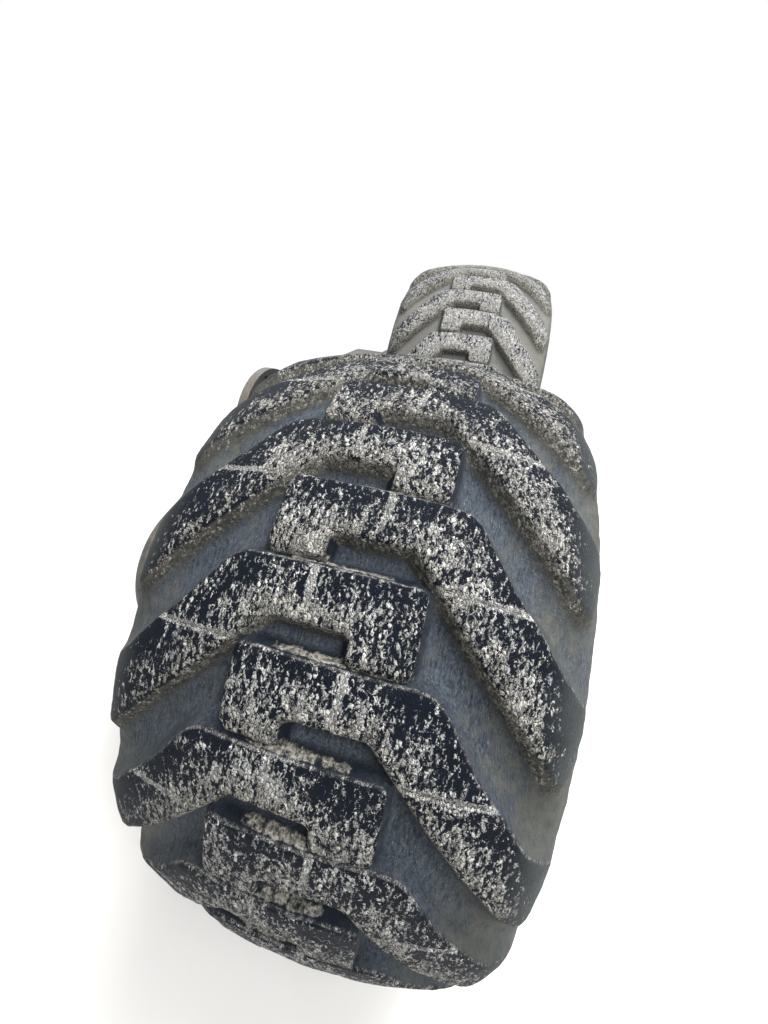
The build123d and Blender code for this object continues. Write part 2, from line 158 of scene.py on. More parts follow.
def evenly_spaced(path, spacing=None, count=None):
    """Evenly spaced points round a closed path, and the way that it runs at each."""
    path = np.concatenate([path, path[:1]])
    run = np.concatenate([[0], np.cumsum(np.linalg.norm(np.diff(path, axis=0), axis=1))])
    places = np.linspace(0, run[-1], count or int(run[-1] / spacing), endpoint=False)
    points = np.stack([np.interp(places, run, path[:, k]) for k in (0, 1)], -1)
    tangent = np.roll(points, -1, 0) - np.roll(points, 1, 0)
    return points, tangent / np.linalg.norm(tangent, axis=1)[:, None]


def rounded_outline(corners, spacing):
    """Evenly spaced points round a closed outline with rounded corners, and its outward normals."""
    points, tangent = evenly_spaced(rounded_path(corners), spacing)
    return points, np.stack([tangent[:, 1], -tangent[:, 0]], -1)


def away_from_run(points, start, end):
    """The straight way to each point from the nearest place of one straight run."""
    start, edge = np.array(start), np.array(end) - np.array(start)
    t = np.clip(((points - start) @ edge) / (edge @ edge), 0, 1)
    return points - start - t[:, None] * edge


def distance_to_outline(points, outline):
    """Distance from each point to a closed outline, below zero inside, and the way out from it."""
    best = np.full(len(points), 1e9)
    away = np.zeros((len(points), 2))
    inside = np.zeros(len(points), bool)
    for start, end in zip(outline, np.roll(outline, -1, 0)):
        gap = away_from_run(points, start, end)
        size = np.linalg.norm(gap, axis=1)
        nearer = size < best
        best[nearer] = size[nearer]
        away[nearer] = gap[nearer]
        low, high = sorted((start[1], end[1]))
        if high > low:
            crosses = (points[:, 1] >= low) & (points[:, 1] < high)
            rise, reach = end[1] - start[1], end[0] - start[0]
            inside ^= crosses & (points[:, 0] < start[0] + (points[:, 1] - start[1]) / rise * reach)
    away /= np.maximum(best, 1e-9)[:, None]
    return np.where(inside, -best, best), np.where(inside, -1, 1)[:, None] * away


bar_outline = rounded_outline(BAR_CORNERS, BAR_POINT_GAP)[0]


def front_and_back(across):
    """How far behind its front edge a bar starts and ends at a distance across."""
    rows = np.linspace(bar_outline[:, 0].min(), bar_outline[:, 0].max(), 120)[1:-1]
    starts, ends = [], []
    for row in rows:
        found = []
        for start, end in zip(bar_outline, np.roll(bar_outline, -1, 0)):
            if (start[0] - row) * (end[0] - row) < 0:
                found.append(start[1] + (row - start[0]) / (end[0] - start[0]) * (end[1] - start[1]))
        starts.append(min(found))
        ends.append(max(found))
    return np.interp(across, rows, starts), np.interp(across, rows, ends)


def bars_near(points):
    """For places of the unrolled tread: how far the nearest bar is, the way out, its slits, place in it."""
    best = np.full(len(points), 1e9)
    way = np.zeros((len(points), 2))
    slit = np.full(len(points), 1e9)
    place = np.zeros((len(points), 2))
    for hand, lag in HANDS:
        for k in (-2, -1, 0, 1):
            own = np.stack([points[:, 0] * hand, points[:, 1] - (k * PITCH + lag)], -1)
            reach = (own[:, 1] > -0.05) & (own[:, 1] < 0.38) & (own[:, 0] > -0.16)
            if not reach.any():
                continue
            away, out = distance_to_outline(own[reach], bar_outline)
            rows = np.flatnonzero(reach)
            nearer = away < best[rows]
            rows = rows[nearer]
            best[rows] = away[nearer]
            way[rows] = out[nearer] * (hand, 1)
            place[rows] = own[rows]
            for start, end in BAR_SLITS:
                slit = np.minimum(slit, np.linalg.norm(away_from_run(own, start, end), axis=1))
    return best, way, slit, place


def side_reach(along):
    """How much rounder and wider a bar's side is where it runs down the shoulder."""
    starts, grows_over, growth = 0.20, 0.17, 1.1
    t = np.clip((np.abs(along) - starts) / grows_over, 0, 1)
    return 1 + growth * t * t * (3 - 2 * t)


# Vertices of the tread: how many round its edge in one pitch, rows and columns of the loose ones,
# and the least gap to a neighbour at the edge, at slits, at a bar's rim, on its wall and elsewhere.
EDGE_STEPS = 16
LOOSE_ROWS, LOOSE_COLUMNS = 76, 20
EDGE_GAP, SLIT_GAP, RIM_GAP, WALL_GAP, LOOSE_GAP = 0.006, 0.0018, 0.0017, 0.0045, 0.0070
RIM_SPACING, WALL_SPACING, SLIT_SPACING = 0.0072, 0.0095, 0.0075


def tread_places():
    """Vertices of one pitch of the unrolled tread, closest together where the bars' sides turn."""
    asked = []
    for side in (-1, 1):
        for k in range(EDGE_STEPS):
            asked.append((side * TREAD_EDGE, k * PITCH / EDGE_STEPS, EDGE_GAP, None))
    for hand, lag in HANDS:
        for start, end in BAR_SLITS:
            start, edge = np.array(start), np.array(end) - np.array(start)
            square = np.array((-edge[1], edge[0])) / np.linalg.norm(edge)
            for t in np.linspace(0, 1, int(np.linalg.norm(edge) / SLIT_SPACING)):
                for step in (0, -1, 1, -2, 2):
                    x, y = start + edge * t + square * (step * SLIT_HALF)
                    asked.append((hand * x, y + lag, SLIT_GAP, None))
    for offset, _ in BAR_SIDE:
        on_rim = -0.005 < offset < 0.012
        points, normals = rounded_outline(BAR_CORNERS, RIM_SPACING if on_rim else WALL_SPACING)
        reach = offset * side_reach(points[:, 0])
        for (x, y), distance in zip(points + normals * reach[:, None], reach):
            for hand, lag in HANDS:
                asked.append((hand * x, y + lag, RIM_GAP if on_rim else WALL_GAP, distance))
    draw = random.Random(7)
    for i in range(1, LOOSE_ROWS):
        for k in range(LOOSE_COLUMNS):
            across = (2 * (i + draw.uniform(-0.15, 0.15)) / LOOSE_ROWS - 1) * TREAD_EDGE
            asked.append((across, (k + draw.uniform(-0.15, 0.15)) * PITCH / LOOSE_COLUMNS, LOOSE_GAP, None))
    places = np.array([(x, y % PITCH) for x, y, _, _ in asked])
    distances = bars_near(places)[0]
    # Keep each place that lies at its wanted distance and not too near to one kept before, found
    # by looking through square cells.
    kept, cells, cell_count = [], {}, 32
    for (x, y), distance, (_, _, gap, wanted) in zip(places, distances, asked):
        beside = wanted is not None and abs(distance - wanted) > 0.0012
        if beside or abs(x) > TREAD_EDGE + 1e-9 or (wanted is not None and abs(x) > TREAD_EDGE - 0.004):
            continue
        i, j = int(x * cell_count / PITCH + 1000), int(y / PITCH * cell_count)
        near = False
        for di in (-1, 0, 1):
            for dj in (-1, 0, 1):
                for px, py in cells.get((i + di, (j + dj) % cell_count), ()):
                    dy = min(abs(py - y), PITCH - abs(py - y))
                    near = near or (px - x) ** 2 + dy * dy < gap * gap
        if not near:
            cells.setdefault((i, j), []).append((x, y))
            inner = abs(x) < TREAD_EDGE - 1e-6
            kept.append((x + inner * draw.uniform(-3e-5, 3e-5), y + inner * draw.uniform(-3e-5, 3e-5)))
    return np.array(kept)


def tread_triangles(points):
    """Triangles over one pitch, as (point, pitches on) pairs, so that the pitches join all round."""
    margin = 0.05
    spread = [(x, y + on * PITCH, i, on) for on in (0, 1, -1) for i, (x, y) in enumerate(points)]
    spread = [place for place in spread if -margin < place[1] < PITCH + margin]
    result = geometry.delaunay_2d_cdt([Vector((x, y)) for x, y, _, _ in spread], [], [], 0, 1e-7)
    triangles = []
    for face in result[2]:
        corners = [spread[result[3][v][0]] for v in face]
        if 0 <= sum(c[1] for c in corners) / 3 < PITCH:
            triangles.append([(c[2], c[3]) for c in corners])
    return triangles


places = tread_places()
triangles = tread_triangles(places)
nearest, way_out, to_slit, place_in_bar = bars_near(places)
bar_front, bar_back = front_and_back(place_in_bar[:, 0])
behind_front = np.clip((place_in_bar[:, 1] - bar_front) / (bar_back - bar_front), 0, 1)
side_faces = way_out[:, 1] * np.clip(nearest / 0.004 + 1, 0, 1)
slit_depth = np.clip(1 - to_slit / SLIT_HALF, 0, 1) * (nearest < -0.001)
slit_share = np.clip(1 - to_slit / SLIT_CRUMBS, 0, 1) * (nearest < 0.001)
faces_ahead = np.clip((-way_out[:, 1] - 0.8) / 0.15, 0, 1)
along_middle = np.clip((MUD_HALF_LENGTH - np.abs(place_in_bar[:, 0] - 0.005)) / 0.012, 0, 1)
mud_share = np.exp(-(((nearest - MUD_OUT) / MUD_SPREAD) ** 2)) * faces_ahead * along_middle

# Section of the cover from the edge of its tread to the bead, and of its inside: half width and radius.
SIDEWALL = (
    (0.3540, 0.4780), (0.3538, 0.4690), (0.3526, 0.4610), (0.3536, 0.4590),
    (0.3536, 0.4560), (0.3510, 0.4535), (0.3480, 0.4440), (0.3459, 0.4391),
    (0.3468, 0.4383), (0.3461, 0.4357), (0.3445, 0.4350), (0.3420, 0.4300),
    (0.3340, 0.4150), (0.3303, 0.4092), (0.3311, 0.4080), (0.3297, 0.4054),
    (0.3276, 0.4048), (0.3250, 0.4010), (0.3165, 0.3905), (0.3090, 0.3830),
    (0.3048, 0.3760), (0.3046, 0.3375), (0.2535, 0.3240), (0.2620, 0.3700),
    (0.3180, 0.4780), (0.2900, 0.5550), (0.2200, 0.5830),
)
SIDE_OFFSETS, SIDE_SHARES = zip(*BAR_SIDE)
# What the rubber's finish reads at a vertex: share of a bar's height, place behind its front edge,
# way that its side faces, nearness of a slit, and packed mud.
TREAD_FACTS = ("height", "behind", "facing", "slit", "mud")


def mesh_of(name, corners, faces, turn_out=False):
    """A mesh of corners and faces, with its faces turned outward where that is asked."""
    mesh = bpy.data.meshes.new(name)
    mesh.from_pydata(corners, [], faces)
    if turn_out:
        shape = bmesh.new()
        shape.from_mesh(mesh)
        bmesh.ops.recalc_face_normals(shape, faces=shape.faces)
        shape.to_mesh(mesh)
        shape.free()
    return mesh


def joined(rings):
    """Faces that join closed rings of corners, each to the next. A ring may be one point."""
    faces = []
    for ring, beside in zip(rings, rings[1:]):
        for k in range(len(ring)):
            n = (k + 1) % len(ring)
            face = [ring[k], ring[n], beside[n], beside[k]]
            face = [v for i, v in enumerate(face) if v != face[i - 1]]
            if len(face) > 2:
                faces.append(face)
    return faces


def tyre_mesh(side, middle):
    """One cover's mesh, with the tread's facts kept at its vertices for the rubber's material."""
    corners, faces = [], []
    reach = side_reach(places[:, 0])
    for pitch in range(BAR_COUNT):
        angles = FIRST_BAR[side] - places[:, 1] / TYRE_RADIUS - pitch * 2 * math.pi / BAR_COUNT
        for i, angle in enumerate(angles):
            spot = Vector((math.sin(angle), places[i, 0], math.cos(angle))) + middle
            ragged = nearest[i] + 0.0012 * noise.noise(spot * 55) + 0.0008 * noise.noise(spot * 140)
            share = np.interp(ragged / reach[i], SIDE_OFFSETS, SIDE_SHARES)
            worn = 0.0012 * noise.noise(spot * 24) + 0.0007 * noise.noise(spot * 66)
            corners.append((angle, share, worn))
    angles, shares, worn = np.array(corners).T
    facts = np.tile(np.stack([behind_front, side_faces, slit_share, mud_share], -1), (BAR_COUNT, 1))
    along = np.tile(places[:, 0], BAR_COUNT)
    groove = np.interp(np.abs(along), GROOVE_ACROSS, GROOVE_DEPTHS)
    slits = np.tile(slit_depth, BAR_COUNT) * SLIT_DEPTH
    edge = np.abs(along) > TREAD_EDGE - 1e-6
    worn[edge] = 0
    sunk = groove * (1 - shares) + slits - MUD_RIDGE * facts[:, 3] * (1 + 60 * worn) + worn + 0.0008
    out, radius = tread_point(along, np.where(edge, 0, sunk))
    count = len(places)
    for triangle in triangles:
        for pitch in range(BAR_COUNT):
            faces.append([i + (pitch + p) % BAR_COUNT * count for i, p in triangle[::-1]])
    columns = EDGE_STEPS * BAR_COUNT
    beads = []
    for hand in (-1, 1):
        on_edge = [i for i in range(count) if places[i, 0] * hand > TREAD_EDGE - 1e-6]
        on_edge.sort(key=lambda i: places[i, 1])
        assert len(on_edge) == EDGE_STEPS
        rings = [[i + pitch * count for pitch in range(BAR_COUNT) for i in on_edge]]
        turn = angles[rings[0]]
        for half_width, ring_radius in SIDEWALL:
            rings.append(range(len(angles), len(angles) + columns))
            angles = np.concatenate([angles, turn])
            out = np.concatenate([out, np.full(columns, hand * half_width)])
            radius = np.concatenate([radius, np.full(columns, ring_radius)])
        # On the other side the same corners run the other way round.
        faces += [face[::hand] for face in joined(rings)]
        beads.append(rings[-1])
    faces += joined(beads[::-1])
    points = np.stack([radius * np.sin(angles), -out, radius * np.cos(angles)], -1) + np.array(middle)
    mesh = mesh_of(f"cover_{side}", points.tolist(), faces)
    more = len(points) - len(facts)
    for name, values in zip(TREAD_FACTS, np.column_stack([shares, facts]).T):
        kept = mesh.attributes.new(name, "FLOAT", "POINT")
        kept.data.foreach_set("value", np.concatenate([values, np.zeros(more)]).astype(np.float32))
    return mesh


def new_object(name, data):
    """Put a new object into the scene."""
    thing = bpy.data.objects.new(name, data)
    bpy.context.scene.collection.objects.link(thing)
    return thing


def add_piece(mesh, body, finish, slot, *nodes, crisp=True):
    """Put a mesh into the scene as a piece of its name, on its body in place of its plain solids."""
    for face in mesh.polygons:
        face.use_smooth = True
    if crisp:
        mesh.set_sharp_from_angle(angle=math.radians(32))
    mesh.materials.append(finish)
    piece = new_object(mesh.name, mesh)
    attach(piece, body)
    if nodes:
        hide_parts(*nodes)


class Nodes:
    """The nodes of one material or world, put in and joined by plain calls."""

    def __init__(self, owner):
        owner.use_nodes = True
        self.owner = owner
        self.tree = owner.node_tree
        self.shader = next((n for n in self.tree.nodes if n.type == "BSDF_PRINCIPLED"), None)

    def add(self, kind, links=(), **settings):
        """Put in one node, set it up, and feed its inputs from sockets or fixed values."""
        node = self.tree.nodes.new("ShaderNode" + kind)
        for name, value in settings.items():
            setattr(node, name, value)
        for name, value in dict(links).items():
            self.join(node.inputs[name], value)
        return node

    def join(self, target, value):
        """Feed an input from a socket or a fixed value."""
        if isinstance(value, bpy.types.NodeSocket):
            self.tree.links.new(value, target)
        else:
            target.default_value = value

    def feed(self, name, value):
        """Feed an input of the surface shader."""
        self.join(self.shader.inputs[name], value)

    def math(self, kind, a, b=0.0, c=0.0, clamp=False):
        """Arithmetic on surface values."""
        links = {0: a, 1: b, 2: c}
        return self.add("Math", links, operation=kind, use_clamp=clamp).outputs[0]

    def times(self, a, b):
        """One surface value times another."""
        return self.math("MULTIPLY", a, b)

    def times_plus(self, a, b, c):
        """One surface value times another, plus a third."""
        return self.math("MULTIPLY_ADD", a, b, c)

    def blend(self, share, first, second):
        """A colour between two others."""
        links = {0: share, 6: first, 7: second}
        return self.add("Mix", links, data_type="RGBA").outputs[2]

    def ramp(self, value, low, high, to_low=0.0, to_high=1.0):
        """A smooth step of a surface value."""
        links = {0: value, 1: low, 2: high, 3: to_low, 4: to_high}
        return self.add("MapRange", links, interpolation_type="SMOOTHSTEP").outputs[0]

    def grain(self, place, scale, detail=3.0, rough=0.6):
        """Fine random grain over a surface."""
        links = {"Vector": place, "Scale": scale, "Detail": detail, "Roughness": rough}
        return self.add("TexNoise", links).outputs[0]

    def relief(self, height, strength, distance):
        """Feed a small relief to the surface shader."""
        links = {"Strength": strength, "Distance": distance, "Height": height}
        self.feed("Normal", self.add("Bump", links).outputs[0])


def colour(red, green, blue):
    """A colour as it looks on a screen, 0 to 255, in the linear values that shaders use."""
    shares = (red / 255, green / 255, blue / 255)
    return tuple(c / 12.92 if c <= 0.04045 else ((c + 0.055) / 1.055) ** 2.4 for c in shares) + (1,)


def unrolled(tread, stretch):
    """Place on the unrolled tread, drawn out round the tyre."""
    links = {0: tread.times(tread.arc, stretch), 1: tread.across, 2: tread.reach}
    return tread.add("CombineXYZ", links).outputs[0]


def tread_values(tread, middle):
    """Add what the tread's finish is made of: where a place lies, its bar's facts, shared grains."""
    spot = tread.add("TexCoord").outputs["Object"]
    apart = tread.add("SeparateXYZ", {0: spot})
    x = tread.math("SUBTRACT", apart.outputs[0], middle.x)
    z = tread.math("SUBTRACT", apart.outputs[2], middle.z)
    tread.across = tread.math("SUBTRACT", apart.outputs[1], middle.y)
    tread.off_middle = tread.math("ABSOLUTE", tread.across)
    tread.arc = tread.times(tread.math("ARCTAN2", x, z), TYRE_RADIUS)
    tread.reach = tread.math("SQRT", tread.math("ADD", tread.times(x, x), tread.times(z, z)))
    for name in TREAD_FACTS:
        setattr(tread, name, tread.add("Attribute", attribute_name=name).outputs["Fac"])
    tread.leading = tread.ramp(tread.facing, -0.2, -0.8)
    tread.trailing = tread.ramp(tread.facing, 0.1, 0.7)

    # Crumbs are cells of a place that is bent by noise and drawn out round the tyre.
    wobble = {"Vector": unrolled(tread, 1), "Scale": 190, "Detail": 3}
    bent = {0: tread.add("TexNoise", wobble).outputs["Color"], 1: (0.008,) * 3}
    bend = tread.add("VectorMath", bent, operation="MULTIPLY").outputs[0]
    links = {0: unrolled(tread, 0.6), 1: bend}
    bent_place = tread.add("VectorMath", links, operation="ADD").outputs[0]
    cells = {"Vector": bent_place, "Scale": 235}
    crumbs = tread.add("TexVoronoi", cells)
    kind = tread.add("SeparateColor", {0: crumbs.outputs["Color"]})
    seams = tread.add("TexVoronoi", cells, feature="DISTANCE_TO_EDGE")

    tread.clump = tread.grain(unrolled(tread, 0.5), 105, 3, 0.6)
    tread.flake = tread.grain(bent_place, 250, 4, 0.7)
    tread.speck = tread.grain(unrolled(tread, 0.8), 620, 3, 0.7)
    tread.patch = tread.grain(spot, 13, 2, 0.5)
    tread.tone = tread.grain(spot, 70, 4, 0.65)
    tread.broad = tread.grain(unrolled(tread, 0.4), 9, 5, 0.6)
    tread.chosen = kind.outputs[0]
    tread.seam = tread.times_plus(tread.speck, 0.16, seams.outputs["Distance"])
    tread.shade = tread.times_plus(kind.outputs[1], 0.6, tread.times(tread.speck, 0.5))


def mud_flecks(tread, bare_end, sun_and_dust):
    """How far crumbs of mud cover a bar: most at its back and in its slits, least at its outer end."""
    # The wheel's share, high on the front wheel, spreads the pale crumbs here and below: dust, and painted
    # sunlight.
    bound = tread.ramp(tread.behind, 0.0, 0.9, 0.564 - 2 * sun_and_dust, 0.474 - sun_and_dust)
    bound = tread.times_plus(tread.patch, -0.20, tread.math("ADD", bound, 0.10))
    ragged = tread.ramp(tread.times_plus(tread.flake, 0.9, tread.slit), 0.60, 1.05)
    bound = tread.times_plus(ragged, -0.20, bound)
    bound = tread.math("ADD", bound, tread.ramp(tread.across, 0.08, 0.26, 0.0, 0.050))
    bound = tread.times_plus(bare_end, 0.17 - 2 * sun_and_dust, bound)
    chance = tread.times_plus(tread.clump, 0.36, tread.times(tread.flake, 0.64))
    chance = tread.times_plus(tread.chosen, 0.13, tread.math("SUBTRACT", chance, 0.065))
    kept = tread.ramp(tread.math("SUBTRACT", chance, bound), -0.008, 0.016)
    whole = tread.ramp(tread.seam, 0.08, 0.20, 0.05, 1.0)
    on_flank = tread.times(tread.trailing, tread.ramp(tread.height, 0.22, 0.55))
    on_top = tread.math("MAXIMUM", tread.ramp(tread.height, 0.82, 0.94), on_flank)
    return tread.times(tread.times(kept, whole), on_top)


def edge_scuffs(tread):
    """Dust rubbed into the rounded front edge of a bar."""
    scuff = tread.times(tread.ramp(tread.height, 0.82, 0.92), tread.ramp(tread.height, 1.0, 0.965))
    scuff = tread.times(scuff, tread.ramp(tread.speck, 0.42, 0.60, 0.05, 0.9))
    scuff = tread.times(scuff, tread.ramp(tread.tone, 0.42, 0.56, 0.1, 1.0))
    return tread.times(scuff, tread.leading)


def packed_strips(tread):
    """Straw-coloured mud packed on the front wall of a bar's middle, with ragged ends."""
    strip = tread.ramp(tread.times_plus(tread.tone, 1.8, tread.mud), 1.15, 1.45)
    strip = tread.times(strip, tread.ramp(tread.mud, 0.05, 0.20))
    return tread.times(strip, tread.ramp(tread.flake, 0.38, 0.56, 0.20, 0.90))


def mud_colour(tread, strip):
    """Dried mud: pale crumbs, browner and darker with painted shade at a bar's back, darker with painted
    shade where they lie lower, and the strips.
    """
    tone = tread.blend(tread.shade, colour(98, 100, 101), colour(252, 251, 247))
    # Towards a bar's back the crumbs turn browner and darker: brown mud, and painted shade.
    rear = tread.ramp(tread.times_plus(tread.patch, 0.5, tread.behind), 0.60, 1.25, 0.0, 0.62)
    brown_and_shade = tread.blend(tread.shade, colour(62, 61, 54), colour(206, 201, 186))
    tone = tread.blend(rear, tone, brown_and_shade)
    # Crumbs lower down a bar's rounded edges and flanks are darker: painted shade.
    sunk = tread.ramp(tread.times_plus(tread.flake, 0.2, tread.height), 1.02, 0.72)
    tone = tread.blend(sunk, tone, tread.blend(tread.shade, colour(78, 78, 73), colour(186, 182, 170)))
    straw = tread.blend(tread.speck, colour(118, 116, 106), colour(204, 200, 186))
    return tread.blend(strip, tone, straw)


def groove_floor(tread, sun_and_dust):
    """Rubber between the bars, dark slate tinted blue as a painted sky reflection: streaked round the tyre,
    sprinkled, and dusty towards the shoulder.
    """
    streak = tread.ramp(tread.grain(unrolled(tread, 0.22), 240, 6, 0.8), 0.30, 0.72)
    # Dark slate rubber with streaks round the tyre; its blue tint is a painted reflection of the sky.
    floor = tread.blend(streak, colour(26, 33, 42), colour(82, 90, 99))
    sprinkle = tread.grain(unrolled(tread, 0.3), 520, 5, 0.75)
    sprinkle = tread.ramp(sprinkle, 0.52, 0.72, 0.0, 0.5)
    floor = tread.blend(sprinkle, floor, colour(158, 158, 153))
    settled = tread.times_plus(tread.broad, 0.7, tread.times(tread.tone, 0.35))
    settled = tread.math("ADD", settled, tread.off_middle)
    dust = tread.blend(tread.tone, colour(44, 47, 46), colour(104, 104, 96))
    floor = tread.blend(tread.ramp(settled, 0.68, 0.90, 0.0, 0.85), floor, dust)
    # The wheel's share lays a pale film over the floor: dust, and on the front wheel painted sunlight.
    film = tread.blend(tread.flake, colour(70, 69, 64), colour(176, 172, 160))
    return tread.blend(8 * sun_and_dust, floor, film)


def sidewall_colour(tread):
    """Weathered sidewall, with mud thrown outward over it and rings where it is rubbed bare."""
    tone = tread.blend(tread.broad, colour(22, 26, 29), colour(74, 76, 74))
    tone = tread.blend(tread.ramp(tread.flake, 0.42, 0.62, 0.0, 0.30), tone, colour(112, 110, 101))
    links = {0: tread.arc, 2: tread.times(tread.reach, 0.10)}
    spokes = tread.add("CombineXYZ", links).outputs[0]
    thrown = tread.times_plus(tread.grain(spokes, 26, 8, 0.75), 0.45, tread.times(tread.tone, 0.55))
    fading = tread.ramp(tread.reach, 0.36, 0.56, 0.12, 0.62)
    thrown = tread.times(tread.ramp(thrown, 0.42, 0.64), fading)
    mud = tread.blend(tread.flake, colour(72, 71, 65), colour(122, 119, 108))
    tone = tread.blend(thrown, tone, mud)
    rubbed = tread.grain(unrolled(tread, 0.03), 230, 4, 0.7)
    return tread.blend(tread.ramp(rubbed, 0.56, 0.70, 0.0, 0.35), tone, colour(28, 32, 36))


def tread_rubber(side, middle, sun_and_dust):
    """Dark rubber with dried mud flecks on the bars and dust in the grooves."""
    tread = Nodes(bpy.data.materials.new(f"tread_rubber_{side}"))
    tread_values(tread, middle)
    outer = tread.times_plus(tread.patch, 0.06, tread.off_middle)
    bare_end = tread.ramp(outer, 0.285, 0.365)
    # Near-black rubber with a navy tint; the tint is a painted reflection of the sky.
    bare = tread.blend(tread.tone, colour(1, 4, 9), colour(10, 19, 32))
    grey = tread.blend(tread.flake, colour(22, 27, 31), colour(94, 99, 98))
    bare = tread.blend(tread.times(bare_end, 0.8), bare, grey)
    floor = groove_floor(tread, sun_and_dust)
    on_wall = tread.ramp(tread.reach, 0.570, 0.530)
    floor = tread.blend(on_wall, floor, sidewall_colour(tread))

    # A bar's sides: bare in front near the middle, dusty in front at the arms, olive behind.
    olive = tread.blend(tread.shade, colour(28, 30, 32), colour(84, 83, 77))
    outer = tread.times_plus(tread.tone, 0.06, tread.off_middle)
    # The wheel's share spreads the floor's paler colour over the front walls: dust, and on the front wheel
    # painted sunlight.
    front = tread.blend(tread.ramp(outer, 0.10, 0.19, 0.10 + 4 * sun_and_dust, 0.80), bare, floor)
    flank = tread.blend(tread.trailing, front, olive)
    body = tread.blend(tread.ramp(tread.height, 0.08, 0.50), floor, flank)
    body = tread.blend(tread.ramp(tread.height, 0.80, 0.92), body, bare)

    flecks = mud_flecks(tread, bare_end, sun_and_dust)
    strip = packed_strips(tread)
    pale = tread.math("MAXIMUM", edge_scuffs(tread), strip)
    pale = tread.math("MAXIMUM", flecks, pale)
    coat = tread.blend(pale, body, mud_colour(tread, strip))
    tread.feed("Base Color", coat)
    tread.feed("Roughness", tread.ramp(pale, 0.0, 1.0, 0.62, 0.97))
    tread.feed("Specular IOR Level", 0.10)
    dome = tread.times(tread.ramp(tread.seam, 0.08, 0.5), tread.times_plus(pale, 0.8, 0.2))
    dome = tread.times(dome, tread.times_plus(strip, -0.85, 1.0))
    raised = tread.times_plus(pale, 0.7, tread.times_plus(tread.speck, 0.4, dome))
    tread.relief(raised, 1.0, 0.0030)
    return tread.owner


# Dust on each wheel, and painted sunlight on the front one, which looks paler by both.
PAINTED_SUN_AND_DUST = {"rear": 0.0, "front": 0.055}
for side in WHEELS:
    low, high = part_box(f"tyre_{side}")
    wheel_middle = (low + high) / 2
    rubber = tread_rubber(side, wheel_middle, PAINTED_SUN_AND_DUST[side])
    mesh = tyre_mesh(side, wheel_middle)
    add_piece(mesh, f"wheel_{side}", rubber, "tyre_rubber", f"tyre_{side}", crisp=False)

# Rims: wide one-piece rolled steel rings with a flange and a tapered seat for each bead and a well
# between them, painted, and scuffed where stones have been thrown against them.


def turned_mesh(name, axle, section, steps, columns):
    """Turn a section of radius, distance outboard and corner radius about an axle at x and z."""
    corners, rings = [], []
    for radius, outboard in rounded_path(section, steps):
        first = len(corners)
        if radius < 1e-6:
            rings.append([first] * columns)
            corners.append((axle[0], -outboard, axle[1]))
            continue
        rings.append(range(first, first + columns))
        for k in range(columns):
            turn = 2 * math.pi * k / columns
            corners.append((axle[0] + radius * math.sin(turn), -outboard, axle[1] + radius * math.cos(turn)))
    return mesh_of(name, corners, joined(rings + rings[:1]), True)


def surface_places(nodes):
    """Where a place lies, and how far its surface faces up."""
    places = nodes.add("TexCoord")
    up = nodes.add("SeparateXYZ", {0: places.outputs["Normal"]}).outputs[2]
    return places.outputs["Object"], up


def paint(name, main, worn, dust, chips, casting=0.0):
    """Satin paint with dust on what faces up, mud near the ground, chips, and the casting's grain."""
    nodes = Nodes(bpy.data.materials.new(name))
    spot, up = surface_places(nodes)
    low = nodes.add("SeparateXYZ", {0: spot}).outputs[2]
    broad = nodes.grain(spot, 7, 4, 0.6)
    fine = nodes.grain(spot, 90, 4, 0.65)
    grit = nodes.grain(spot, 340, 3, 0.6)
    clots = nodes.grain(spot, 19, 4, 0.6)
    coat = nodes.blend(broad, tuple(0.72 * c for c in main[:3]) + (1,), main)
    chipped = nodes.times_plus(fine, 0.6, nodes.times(broad, 0.4))
    coat = nodes.blend(nodes.ramp(chipped, 0.635, 0.655, 0.0, chips), coat, worn)
    film = nodes.times_plus(fine, 0.5, nodes.times(broad, 0.5))
    film = nodes.times(nodes.ramp(film, 0.36, 0.62), nodes.ramp(up, -0.2, 1.0, 0.25 * dust, dust))
    coat = nodes.blend(film, coat, nodes.blend(grit, colour(118, 110, 94), colour(160, 152, 134)))
    splash = nodes.times_plus(fine, 0.40, nodes.times_plus(clots, 0.45, nodes.times(grit, 0.15)))
    splash = nodes.math("SUBTRACT", splash, nodes.ramp(low, -0.55, 0.10, 0.0, 0.20))
    splash = nodes.ramp(splash, 0.44, 0.56, 0.0, 0.80)
    coat = nodes.blend(splash, coat, nodes.blend(grit, colour(92, 84, 69), colour(150, 141, 122)))
    nodes.feed("Base Color", coat)
    dulled = nodes.math("MAXIMUM", nodes.times(film, 1.3), splash, clamp=True)
    nodes.feed("Roughness", nodes.ramp(dulled, 0.0, 1.0, 0.42, 0.92))
    skin = nodes.times_plus(fine, casting, nodes.times(grit, 0.25 + 0.3 * casting))
    skin = nodes.times_plus(splash, 0.8, skin)
    nodes.relief(skin, 0.7, 0.0011)
    return nodes.owner


AXLES = {}
for side in WHEELS:
    low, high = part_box(f"rim_{side}")
    AXLES[side] = ((low.x + high.x) / 2, wheel_middle.z)
TYRE_MIDDLE = -wheel_middle.y
